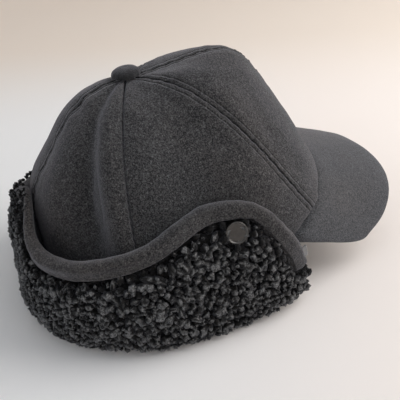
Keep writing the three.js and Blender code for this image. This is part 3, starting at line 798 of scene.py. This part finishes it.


# Pile: a backing painted dark as the shade between the curls, with curls set close all over it
pilePlan = {
    "inset": 2.4 * mm,  # how far the backing lies under the CAD surface
    "foot": {  # the backing swells at the right back, low down: degrees round, and millimetres up
        "swell": 3.4 * mm, "starts": (125, 148), "ends": (172, 182), "fades": (14, 46),
    },
    "candidates": 60000,
    "coverReach": 0.3 * mm,  # curls start where the cloth over the backing is further off than this
    "seed": 11,
    "floor": 0.15 * mm,  # nothing goes lower
    "sole": {"height": 1.5 * mm, "facing": -0.8},  # no curls so low on faces that look down
    "studClear": 4.4 * mm,
    "tall": 4.6 * mm,  # a curl's top above the backing, where its painted light is brightest
    "tipLightGain": 1.35,  # how early a curl's painted light reaches full strength
    "shapes": 14,
    "tilt": 0.3,
    "stretch": (0.78, 1.18),
    "kinds": {  # radius, spacing and lift in millimetres, and height as a share of the radius
        "curls": {
            "radius": (2.3, 3.2), "spacing": 3.6, "lift": (0.5, 2.1), "rough": 0.36, "tall": (0.78, 1.18),
        },
        "tufts": {
            "radius": (0.9, 1.5), "spacing": 3.2, "lift": (1.4, 2.8), "rough": 0.45, "tall": (1.0, 1.8),
        },
    },
    "collar": {"from": 170, "to": -136, "outside": 0.15, "size": 0.8},  # degrees round, past the back
    "areas": {  # degrees round from the front, and the size of the curls there
        "rightFront": {"from": 0, "to": 84, "size": 1.0},
        "rightSide": {"from": 84, "to": 132, "size": 1.0},
        "rightBack": {"from": 132, "to": 180, "size": 0.84},
        "leftBack": {"from": -180, "to": -132, "size": 0.9},
        "left": {"from": -132, "to": 0, "size": 1.0},
    },
}


def curlShapes(rough, plan):  # wound knobs and bent locks of radius 1, with the light or shade painted at each point
    shapes = []
    for number in range(plan["shapes"]):
        shape = bmesh.new()
        bmesh.ops.create_icosphere(shape, subdivisions=2, radius=1)
        strands, twist = 2 + number % 3, 2.2 + number * 0.37 % 1.5
        paintedLight = []
        for vert in shape.verts:
            shift = Vector((number * 3.7 + plan["seed"], plan["seed"], 0))
            swirl = noise.noise(vert.co * 1.3 + shift) + 0.5 * noise.noise(vert.co * 2.9 + shift)
            turn = math.atan2(vert.co.y, vert.co.x)
            winding = math.sin(strands * turn + twist * vert.co.z * 2.4 + 3 * swirl)
            # painted shade in the grooves between the strands, painted light on their ridges
            paintedLight.append(0.72 + 0.28 * winding)
            vert.co *= 1 + rough * (1.4 * swirl + 0.45 * winding)
            if number % 3 == 0:  # a lock: longer, flatter and bent
                x, y, z = vert.co
                vert.co = Vector((x * 1.4, y * 0.75, z * 0.8 - 0.22 * x ** 2))
        shapes.append((*shapeArrays(shape), np.array(paintedLight)))
    return shapes


def makeBacking(plan):
    shape = mergedCopy("ear_flap_pile")
    smoothed(shape, shape.verts)
    backing = newPiece("pile_backing", shape, "pile", "ear_flap_pile")
    subdivide(backing, 1)
    points, normals = vertexArrays(backing.data)
    turn, height, foot = degreesRound(points), points[:, 2] / mm, plan["foot"]
    swell = smoothRamp(turn, *foot["starts"]) * (1 - smoothRamp(turn, *foot["ends"]))
    swell = swell * (1 - smoothRamp(height, *foot["fades"]))
    points = points + normals * (swell * foot["swell"] - plan["inset"])[:, None]
    points[:, 2] = np.maximum(points[:, 2], plan["floor"])
    setPoints(backing.data, points)
    # the backing gets no painted light, so it takes the dark shade of the gaps
    setValues(backing.data, "tipLight", np.zeros(len(points)))
    return backing


def spotsOn(mesh, count, draw):  # random places on a mesh, each with its normal
    mesh.calc_loop_triangles()
    points, normals = vertexArrays(mesh)
    triangles = np.zeros(len(mesh.loop_triangles) * 3, np.int32)
    mesh.loop_triangles.foreach_get("vertices", triangles)
    corners = points[triangles.reshape(-1, 3)]
    facings = normals[triangles.reshape(-1, 3)]
    sides = corners[:, 1:] - corners[:, :1]
    areas = np.linalg.norm(np.cross(sides[:, 0], sides[:, 1]), axis=1)
    chosen = draw.choice(len(areas), count, p=areas / areas.sum())
    shares = draw.dirichlet((1, 1, 1), count)[:, :, None]
    spots = (corners[chosen] * shares).sum(axis=1)
    facing = (facings[chosen] * shares).sum(axis=1)
    facing /= np.linalg.norm(facing, axis=1)[:, None] + 1e-9
    return spots, facing


def spacedOut(spots, spacing):  # the numbers of spots to keep, so that no two are closer than the spacing
    cells, kept = {}, []
    for number, spot in enumerate(spots):
        key = tuple(np.floor(spot / spacing).astype(int))
        near = [
            other
            for x in (-1, 0, 1) for y in (-1, 0, 1) for z in (-1, 0, 1)
            for other in cells.get((key[0] + x, key[1] + y, key[2] + z), ())
        ]
        if all(np.sum((spots[other] - spot) ** 2) > spacing * spacing for other in near):
            cells.setdefault(key, []).append(number)
            kept.append(number)
    return kept


def openTo(spots, facing, cover, reach):  # whether nothing lies close over each spot
    rays = [cover.ray_cast(Vector(spot), Vector(normal), reach) for spot, normal in zip(spots, facing)]
    return np.array([hit is None for hit, *_ in rays])


def turnsTo(facing, draw, tilt):  # a random turn for each spot whose own Z is near its normal
    leaned = facing + draw.normal(0, tilt, facing.shape)
    leaned /= np.linalg.norm(leaned, axis=1)[:, None]
    other = draw.normal(0, 1, facing.shape)
    first = np.cross(leaned, other)
    first /= np.linalg.norm(first, axis=1)[:, None]
    second = np.cross(leaned, first)
    return np.stack([first, second, leaned], axis=2)


def setCurls(kind, size, shapes, spots, facing, draw, plan):
    count = len(spots)
    turns = turnsTo(facing, draw, plan["tilt"])
    radii = draw.uniform(*kind["radius"], count) * size * mm
    lifts = draw.uniform(*kind["lift"], count) * size * mm
    stretch = draw.uniform(*plan["stretch"], (count, 3))
    stretch[:, 2] = draw.uniform(*kind["tall"], count)
    chosen = draw.integers(0, len(shapes), count)
    parts, tipLights = [], []
    for i in range(count):
        points, faces, paintedLight = shapes[chosen[i]]
        moved = (points * stretch[i] * radii[i]) @ turns[i].T
        height = moved @ facing[i]
        # painted light: brighter towards the top of a curl, darker as shade down near the backing
        share = (height / radii[i] + 1) / 2 * np.clip((height + lifts[i]) / (plan["tall"] * size), 0, 1)
        moved = moved + spots[i] + facing[i] * lifts[i]
        moved[:, 2] = np.maximum(moved[:, 2], plan["floor"])
        parts.append((moved, faces))
        tipLights.append(np.clip(share * paintedLight * plan["tipLightGain"], 0, 1))
    return parts, tipLights


def makeCollar(binding, plan):  # tufts that stand up over the binding at the back
    draw = np.random.default_rng(plan["seed"] + 1)
    kind, collar = plan["kinds"]["tufts"], plan["collar"]
    spots, facing = spotsOn(binding.data, plan["candidates"], draw)
    turn = degreesRound(spots)
    outward = spots[:, :2] - np.array(crownMiddle)[:2]
    outward /= np.linalg.norm(outward, axis=1)[:, None]
    outside = (outward * facing[:, :2]).sum(axis=1) > collar["outside"]
    chosen = outside & ((turn > collar["from"]) | (turn < collar["to"]))
    spots, facing = spots[chosen], facing[chosen]
    kept = spacedOut(spots, kind["spacing"] * collar["size"] * mm)
    shapes = curlShapes(kind["rough"], plan)
    parts, tipLights = setCurls(kind, collar["size"], shapes, spots[kept], facing[kept], draw, plan)
    return joinedPiece("pile_tufts_collar", parts, "pile", tipLights)


def makePile(backing, cover, studs, plan):
    draw = np.random.default_rng(plan["seed"])
    pieces, sole = [], plan["sole"]
    for kindName, kind in plan["kinds"].items():
        shapes = curlShapes(kind["rough"], plan)
        for area, bounds in plan["areas"].items():
            spots, facing = spotsOn(backing.data, plan["candidates"], draw)
            turn = degreesRound(spots)
            inside = (turn >= bounds["from"]) & (turn < bounds["to"])
            inside &= (spots[:, 2] > sole["height"]) | (facing[:, 2] > sole["facing"])
            spots, facing = spots[inside], facing[inside]
            kept = spacedOut(spots, kind["spacing"] * bounds["size"] * mm)
            spots, facing = spots[kept], facing[kept]
            clear = openTo(spots, facing, cover, plan["coverReach"])
            for stud in studs:
                clear &= np.linalg.norm(spots - np.array(stud), axis=1) > plan["studClear"]
            parts, tipLights = setCurls(kind, bounds["size"], shapes, spots[clear], facing[clear], draw, plan)
            name = "pile_" + kindName + "_" + area
            pieces.append(joinedPiece(name, parts, "pile", tipLights))
            print(name, len(parts), "curls,", len(pieces[-1].data.polygons), "faces")
    return pieces


# Press studs: a domed disc in a raised ring
studPlan = {"radius": 6.4 * mm, "ring": 0.8 * mm, "rise": 2.1 * mm, "segments": 48}


def discFrame(node):  # a round node's middle, and a matrix whose Z is its axis, pointing out of the cap
    points = np.array([vert.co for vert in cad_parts[node].data.vertices])
    middle = (points.max(axis=0) + points.min(axis=0)) / 2
    axis = Vector(np.linalg.svd(points - points.mean(axis=0), full_matrices=False)[2][2])
    if axis.dot(Vector(middle) - crownMiddle - up * middle[2]) < 0:
        axis.negate()
    return Vector(middle), axis.to_track_quat("Z", "Y").to_matrix().to_4x4()


def makeStud(node, plan):
    middle, turn = discFrame(node)
    radius, ring, half = plan["radius"], plan["ring"], plan["rise"] / 2
    profile = [  # how far out and how far up, from the middle underneath to the middle on top
        (0, -half), (radius * 0.94, -half), (radius, -half * 0.6), (radius, half * 0.55),
        (radius - ring * 0.25, half * 0.95), (radius - ring * 0.65, half), (radius - ring, half * 0.8),
        (radius - ring * 1.25, half * 0.35), (radius - ring * 1.9, half * 0.3),
        (radius * 0.62, half * 0.42), (radius * 0.4, half * 0.62),
        (radius * 0.16, half * 0.66), (radius * 0.08, half * 0.5), (0, half * 0.46),
    ]
    shape = spun(profile, plan["segments"])
    bmesh.ops.recalc_face_normals(shape, faces=shape.faces)
    away = [math.hypot(vert.co.x, vert.co.y) for vert in shape.verts]
    bmesh.ops.transform(shape, matrix=Matrix.Translation(middle) @ turn, verts=shape.verts)
    stud = newPiece(node + "_disc", shape, "stud_plastic", node)
    setValues(stud.data, "ring", smoothRamp(np.array(away), radius - ring * 2.2, radius - ring * 1.2))


studNodes = ("press_stud_right", "press_stud_left")
for node in studNodes:
    makeStud(node, studPlan)
studMiddles = [discFrame(node)[0] for node in studNodes]
print("press studs made")

backing = makeBacking(pilePlan)
coverSurface = surfaceOf([*panels, flapCloth, binding])
curls = makePile(backing, coverSurface, studMiddles, pilePlan)
curls.append(makeCollar(binding, pilePlan))
print("pile set")


# Side tab: a plain woven tape
tabPlan = {"cuts": 3, "levels": 2, "corner": 60, "crease": 0.6}


def makeTab(plan):
    shape = mergedCopy("side_tab")
    bmesh.ops.subdivide_edges(shape, edges=shape.edges, cuts=plan["cuts"], use_grid_fill=True)
    creaseCorners(shape, plan)
    tab = newPiece("side_tab_tape", shape, "tab_weave", "side_tab")
    subdivide(tab, plan["levels"])


makeTab(tabPlan)
print("tab sewn on")


# Floor, light and air
stagePlan = {
    "floorReach": 1.5,
    "wallRise": 1.3,
    "curve": 0.5,  # the radius of the bend between the floor and the wall
    "bends": 8,
    "rounds": 64,
    # painted light: floorNear is the cooler paint on the side away from the window, floorPaintedLight the
    # brighter, warmer paint towards it
    "floorNear": (0.9, 0.92, 0.94, 1),
    "floorPaintedLight": (0.96, 0.91, 0.88, 1),
    "floorFar": (0.86, 0.79, 0.72, 1),
    "paintedLightWay": (-0.35, -0.94, 0),  # painted light: the floor is painted brighter and warmer in this direction, towards the window, between these distances
    "paintedLightFrom": (-0.1, 0.16),
    "farWay": (0.94, -0.35, 0),
    "farFrom": (0.2, 0.6),
    "world": (0.92, 0.95, 1.0, 1),
    "worldStrength": 0.25,
}
lights = [  # places and sizes in metres, powers in watts
    {
        "name": "window", "place": (-0.22, -1.12, 0.9), "aim": (0, 0, 0.06),
        "size": 1.3, "power": 15.5, "colour": (1, 0.96, 0.92),
    },
    {
        "name": "sky", "place": (-0.1, -0.25, 1.5), "aim": (0, 0, 0.05),
        "size": 1.4, "power": 2.8, "colour": (0.95, 0.97, 1),
    },
    {
        "name": "fill", "place": (0.25, 1.15, 0.75), "aim": (0, 0, 0.05),
        "size": 1.0, "power": 1.0, "colour": (0.88, 0.94, 1),
    },
]


def makeFloor(plan):  # a round floor that curves up into a wall all round
    reach, curve = plan["floorReach"], plan["curve"]
    profile = [(0, 0), (0.3, 0), (0.7, 0), (reach - curve, 0)]
    for step in range(1, plan["bends"] + 1):
        angle = math.pi / 2 * step / plan["bends"]
        profile.append((reach - curve + curve * math.sin(angle), curve - curve * math.cos(angle)))
    profile.append((reach, plan["wallRise"]))
    shape = spun(profile, plan["rounds"])
    mesh = bpy.data.meshes.new("floor")
    shape.to_mesh(mesh)
    shape.free()
    mesh.shade_smooth()
    floor = bpy.data.objects.new("floor", mesh)
    bpy.context.scene.collection.objects.link(floor)
    finish = Finish("floor_paint", {"Roughness": 0.85, "Specular IOR Level": 0.2})
    paintedLight, far = (finish.along(plan[way]) for way in ("paintedLightWay", "farWay"))
    # painted light: a pool of brighter, warmer paint towards the window
    colour = finish.mix(paintedLight.ramp(*plan["paintedLightFrom"]), plan["floorNear"], plan["floorPaintedLight"])
    colour = finish.mix(far.ramp(*plan["farFrom"]), colour, plan["floorFar"])
    mesh.materials.append(finish.feed({"Base Color": colour}))


def makeLight(plan):
    data = bpy.data.lights.new(plan["name"], "AREA")
    data.shape = "DISK"
    data.size = plan["size"]
    data.energy = plan["power"]
    data.color = plan["colour"]
    light = bpy.data.objects.new(plan["name"], data)
    light.location = plan["place"]
    ahead = Vector(plan["aim"]) - Vector(plan["place"])
    light.rotation_euler = ahead.to_track_quat("-Z", "Y").to_euler()
    bpy.context.scene.collection.objects.link(light)


def makeAir(plan):
    world = bpy.data.worlds.new("air")
    world.use_nodes = True
    background = world.node_tree.nodes["Background"]
    background.inputs["Color"].default_value = plan["world"]
    background.inputs["Strength"].default_value = plan["worldStrength"]
    bpy.context.scene.world = world
    bpy.context.scene.view_settings.view_transform = "Standard"


makeFloor(stagePlan)
for plan in lights:
    makeLight(plan)
makeAir(stagePlan)
print("floor and lights set")
